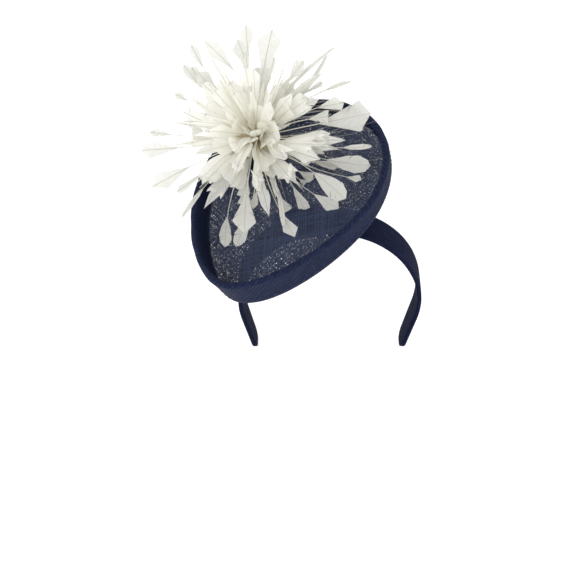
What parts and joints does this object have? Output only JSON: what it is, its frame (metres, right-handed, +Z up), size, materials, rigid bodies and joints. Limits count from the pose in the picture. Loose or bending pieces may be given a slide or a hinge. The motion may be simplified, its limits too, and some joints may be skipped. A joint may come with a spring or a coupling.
{
  "type": "fascinator headpiece",
  "caption": "Teardrop woven dish with a wired, bound brim, sewn tilted on a covered flexing headband, with a spray flower of trimmed feathers.",
  "frame": {"origin": "centre of the headband's arch, halfway across the band's width", "axes": "+X to the wearer's left, +Y to the back of the head along the arch's axis, +Z up through the top of the arch"},
  "size_m": [0.2276, 0.2047, 0.2442],
  "materials": {
    "band_core": "matte",
    "band_cover": "satin woven cover, navy",
    "band_lining": "velvet ribbon, navy",
    "sinamay": "open plain weave, navy",
    "binding": "dense bias weave, navy",
    "wire": "cotton-covered",
    "thread": "polyester thread, navy",
    "felt": "pressed felt, navy",
    "flower_core": "cotton bound, cream to tan",
    "petal_feather": "feather, ivory",
    "long_feather": "stripped and trimmed feather, ivory"
  },
  "bodies": {
    "crown": {"band_core_crown": "band_core", "band_cover_crown": "band_cover", "band_lining_crown": "band_lining", "base_top_ply": "sinamay", "base_under_ply": "sinamay", "brim_binding": "binding", "brim_wire": "wire", "feather_a": "long_feather", "feather_aa": "long_feather", "feather_b": "long_feather", "feather_bb": "long_feather", "feather_c": "long_feather", "feather_cc": "long_feather", "feather_d": "long_feather", "feather_e": "long_feather", "feather_f": "long_feather", "feather_g": "long_feather", "feather_h": "long_feather", "feather_i": "long_feather", "feather_j": "long_feather", "feather_k": "long_feather", "feather_l": "long_feather", "feather_m": "long_feather", "feather_n": "long_feather", "feather_o": "long_feather", "feather_p": "long_feather", "feather_q": "long_feather", "feather_r": "long_feather", "feather_s": "long_feather", "feather_t": "long_feather", "feather_u": "long_feather", "feather_v": "long_feather", "feather_w": "long_feather", "feather_x": "long_feather", "feather_y": "long_feather", "feather_z": "long_feather", "felt_pad": "felt", "flower_disc": "felt", "flower_heart": "flower_core", "flower_stalk": "flower_core", "pad_stitches": "thread", "petals_back": "petal_feather", "petals_centre": "petal_feather", "petals_inner": "petal_feather", "petals_middle": "petal_feather", "petals_outer": "petal_feather", "stalk_thread": "thread"},
    "left_arm": {"band_core_left": "band_core", "band_cover_left": "band_cover", "band_lining_left": "band_lining"},
    "right_arm": {"band_core_right": "band_core", "band_cover_right": "band_cover", "band_lining_right": "band_lining"}
  },
  "joints": [
    {"name": "left_arm_flex", "type": "hinge", "parent": "crown", "child": "left_arm", "pos_m": [0.06507, 0, 0.0346], "axis": [0, 1, 0], "range_deg": [-8, 4], "stiffness_Nm_per_rad": 0.6},
    {"name": "right_arm_flex", "type": "hinge", "parent": "crown", "child": "right_arm", "pos_m": [-0.06507, 0, 0.0346], "axis": [0, 1, 0], "range_deg": [-4, 8], "stiffness_Nm_per_rad": 0.6}
  ]
}
